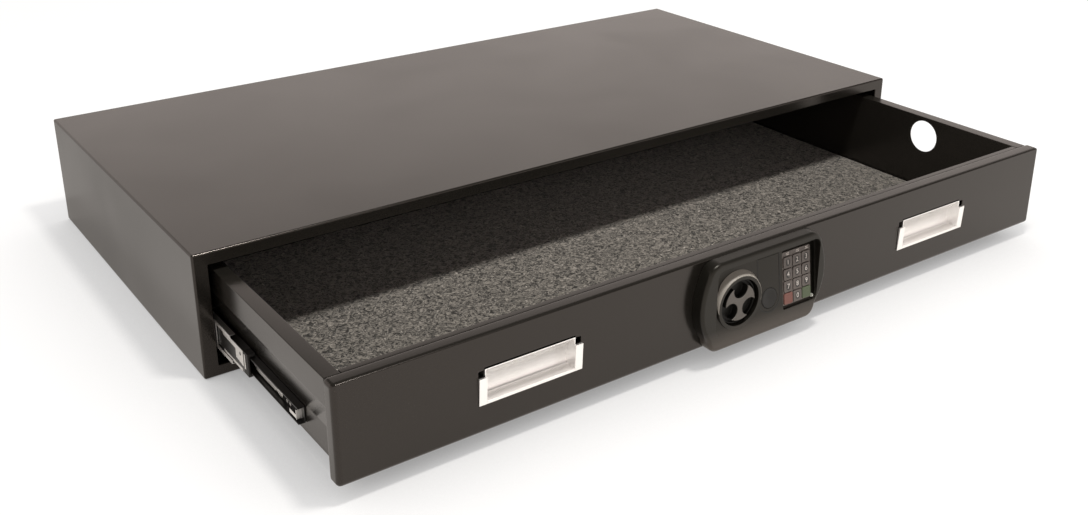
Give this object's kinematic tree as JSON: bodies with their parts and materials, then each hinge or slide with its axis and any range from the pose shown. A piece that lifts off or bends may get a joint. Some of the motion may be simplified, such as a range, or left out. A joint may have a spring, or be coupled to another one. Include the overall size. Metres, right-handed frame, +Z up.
{
  "type": "under desk drawer safe",
  "caption": "Wide, flat steel cabinet with a pull-out drawer on ball slides, lined with felt, closed by a keypad lock with a turning knob and upward bolts.",
  "frame": {"origin": "centre of the cabinet's underside", "axes": "+X across to the right as seen from the drawer's front, +Y from the front to the back, +Z up"},
  "size_m": [1.016, 0.7813, 0.14],
  "materials": {
    "powder_coat": "satin charcoal powder coat, fine texture",
    "slide_black": "black electrocoat, semi gloss",
    "zinc_plate": "zinc plated sheet",
    "bright_steel": "turned bright steel",
    "satin_chrome": "satin chrome plate",
    "brass": "turned brass",
    "black_plastic": "satin moulded plastic",
    "knob_plastic": "satin moulded plastic, a little lighter",
    "keypad_grey": "grey moulded keys in a silver grey plate",
    "key_red": "muted red",
    "key_green": "muted green",
    "rubber_black": "dull black",
    "felt_grey": "flecked grey needled felt",
    "board_green": "green solder resist",
    "cell_wrap": "plain shrink wrap",
    "lens_clear": "clear light lens"
  },
  "bodies": {
    "cabinet": {"cabinet_shell": "powder_coat", "cabinet_back": "powder_coat", "lock_strike": "zinc_plate", "slide_bracket_left": "zinc_plate", "slide_bracket_right": "zinc_plate", "slide_outer_left": "slide_black", "slide_outer_right": "slide_black"},
    "drawer": {"drawer_floor": "powder_coat", "drawer_side_left": "powder_coat", "drawer_side_right": "powder_coat", "drawer_front": "powder_coat", "felt_liner": "felt_grey", "pull_left": "satin_chrome", "pull_right": "satin_chrome", "slide_inner_left": "slide_black", "slide_inner_right": "slide_black", "lock_bezel": "black_plastic", "keypad_plate": "keypad_grey", "override_panel": "black_plastic", "override_cap": "rubber_black", "key_cylinder": "brass", "circuit_board": "board_green", "status_lens": "lens_clear", "lock_plate": "zinc_plate", "lock_cover": "powder_coat", "solenoid": "slide_black", "battery_box": "black_plastic", "battery_lid": "black_plastic", "battery_1": "cell_wrap", "battery_2": "cell_wrap", "battery_3": "cell_wrap", "battery_4": "cell_wrap"},
    "knob": {"knob": "knob_plastic", "knob_spindle": "bright_steel", "lock_cam": "zinc_plate"},
    "bolts": {"bolt_bar": "zinc_plate", "bolt_left": "bright_steel", "bolt_right": "bright_steel"},
    "middle_member_left": {"slide_middle_left": "slide_black", "slide_bumper_left": "rubber_black"},
    "outer_cage_left": {"outer_cage_left": "zinc_plate"},
    "inner_cage_left": {"inner_cage_left": "zinc_plate"},
    "release_lever_left": {"release_lever_left": "zinc_plate"},
    "middle_member_right": {"slide_middle_right": "slide_black", "slide_bumper_right": "rubber_black"},
    "outer_cage_right": {"outer_cage_right": "zinc_plate"},
    "inner_cage_right": {"inner_cage_right": "zinc_plate"},
    "release_lever_right": {"release_lever_right": "zinc_plate"},
    "key_1": {"key_1": "keypad_grey"},
    "key_2": {"key_2": "keypad_grey"},
    "key_3": {"key_3": "keypad_grey"},
    "key_4": {"key_4": "keypad_grey"},
    "key_5": {"key_5": "keypad_grey"},
    "key_6": {"key_6": "keypad_grey"},
    "key_7": {"key_7": "keypad_grey"},
    "key_8": {"key_8": "keypad_grey"},
    "key_9": {"key_9": "keypad_grey"},
    "key_0": {"key_0": "keypad_grey"},
    "key_cancel": {"key_cancel": "key_red"},
    "key_enter": {"key_enter": "key_green"}
  },
  "joints": [
    {"name": "drawer_slide", "type": "slide", "parent": "cabinet", "child": "drawer", "axis": [0, -1, 0], "range_m": [-0.266, 0.14]},
    {"name": "middle_member_left_slide", "type": "slide", "parent": "cabinet", "child": "middle_member_left", "axis": [0, -1, 0], "range_m": [-0.133, 0.07]},
    {"name": "outer_cage_left_slide", "type": "slide", "parent": "cabinet", "child": "outer_cage_left", "axis": [0, -1, 0], "range_m": [-0.0665, 0.035]},
    {"name": "inner_cage_left_slide", "type": "slide", "parent": "cabinet", "child": "inner_cage_left", "axis": [0, -1, 0], "range_m": [-0.1995, 0.105]},
    {"name": "middle_member_right_slide", "type": "slide", "parent": "cabinet", "child": "middle_member_right", "axis": [0, -1, 0], "range_m": [-0.133, 0.07]},
    {"name": "outer_cage_right_slide", "type": "slide", "parent": "cabinet", "child": "outer_cage_right", "axis": [0, -1, 0], "range_m": [-0.0665, 0.035]},
    {"name": "inner_cage_right_slide", "type": "slide", "parent": "cabinet", "child": "inner_cage_right", "axis": [0, -1, 0], "range_m": [-0.1995, 0.105]},
    {"name": "knob_turn", "type": "hinge", "parent": "drawer", "child": "knob", "pos_m": [-0.035, -0.516, 0.0665], "axis": [0, -1, 0], "range_deg": [0, 90]},
    {"name": "bolt_throw", "type": "slide", "parent": "drawer", "child": "bolts", "axis": [0, 0, 1], "range_m": [0, 0.022]},
    {"name": "lever_left_release", "type": "hinge", "parent": "drawer", "child": "release_lever_left", "pos_m": [-0.4825, -0.33, 0.049], "axis": [-1, 0, 0], "range_deg": [0, 4], "stiffness_Nm_per_rad": 0.05, "springref_deg": -5.73},
    {"name": "lever_right_release", "type": "hinge", "parent": "drawer", "child": "release_lever_right", "pos_m": [0.4825, -0.33, 0.049], "axis": [1, 0, 0], "range_deg": [0, 4], "stiffness_Nm_per_rad": 0.05, "springref_deg": -5.73},
    {"name": "key_1_press", "type": "slide", "parent": "drawer", "child": "key_1", "axis": [0, 0.9921, -0.1253], "range_m": [0, 0.001], "stiffness_N_per_m": 300, "springref_m": -0.001},
    {"name": "key_2_press", "type": "slide", "parent": "drawer", "child": "key_2", "axis": [0, 0.9921, -0.1253], "range_m": [0, 0.001], "stiffness_N_per_m": 300, "springref_m": -0.001},
    {"name": "key_3_press", "type": "slide", "parent": "drawer", "child": "key_3", "axis": [0, 0.9921, -0.1253], "range_m": [0, 0.001], "stiffness_N_per_m": 300, "springref_m": -0.001},
    {"name": "key_4_press", "type": "slide", "parent": "drawer", "child": "key_4", "axis": [0, 0.9921, -0.1253], "range_m": [0, 0.001], "stiffness_N_per_m": 300, "springref_m": -0.001},
    {"name": "key_5_press", "type": "slide", "parent": "drawer", "child": "key_5", "axis": [0, 0.9921, -0.1253], "range_m": [0, 0.001], "stiffness_N_per_m": 300, "springref_m": -0.001},
    {"name": "key_6_press", "type": "slide", "parent": "drawer", "child": "key_6", "axis": [0, 0.9921, -0.1253], "range_m": [0, 0.001], "stiffness_N_per_m": 300, "springref_m": -0.001},
    {"name": "key_7_press", "type": "slide", "parent": "drawer", "child": "key_7", "axis": [0, 0.9921, -0.1253], "range_m": [0, 0.001], "stiffness_N_per_m": 300, "springref_m": -0.001},
    {"name": "key_8_press", "type": "slide", "parent": "drawer", "child": "key_8", "axis": [0, 0.9921, -0.1253], "range_m": [0, 0.001], "stiffness_N_per_m": 300, "springref_m": -0.001},
    {"name": "key_9_press", "type": "slide", "parent": "drawer", "child": "key_9", "axis": [0, 0.9921, -0.1253], "range_m": [0, 0.001], "stiffness_N_per_m": 300, "springref_m": -0.001},
    {"name": "key_0_press", "type": "slide", "parent": "drawer", "child": "key_0", "axis": [0, 0.9921, -0.1253], "range_m": [0, 0.001], "stiffness_N_per_m": 300, "springref_m": -0.001},
    {"name": "key_cancel_press", "type": "slide", "parent": "drawer", "child": "key_cancel", "axis": [0, 0.9921, -0.1253], "range_m": [0, 0.001], "stiffness_N_per_m": 300, "springref_m": -0.001},
    {"name": "key_enter_press", "type": "slide", "parent": "drawer", "child": "key_enter", "axis": [0, 0.9921, -0.1253], "range_m": [0, 0.001], "stiffness_N_per_m": 300, "springref_m": -0.001}
  ],
  "couplings": [
    {"joint": "middle_member_left_slide", "follows": "drawer_slide", "ratio": 0.5},
    {"joint": "outer_cage_left_slide", "follows": "drawer_slide", "ratio": 0.25},
    {"joint": "inner_cage_left_slide", "follows": "drawer_slide", "ratio": 0.75},
    {"joint": "middle_member_right_slide", "follows": "drawer_slide", "ratio": 0.5},
    {"joint": "outer_cage_right_slide", "follows": "drawer_slide", "ratio": 0.25},
    {"joint": "inner_cage_right_slide", "follows": "drawer_slide", "ratio": 0.75},
    {"joint": "knob_turn", "follows": "bolt_throw", "rad_per_m": 71.39}
  ]
}
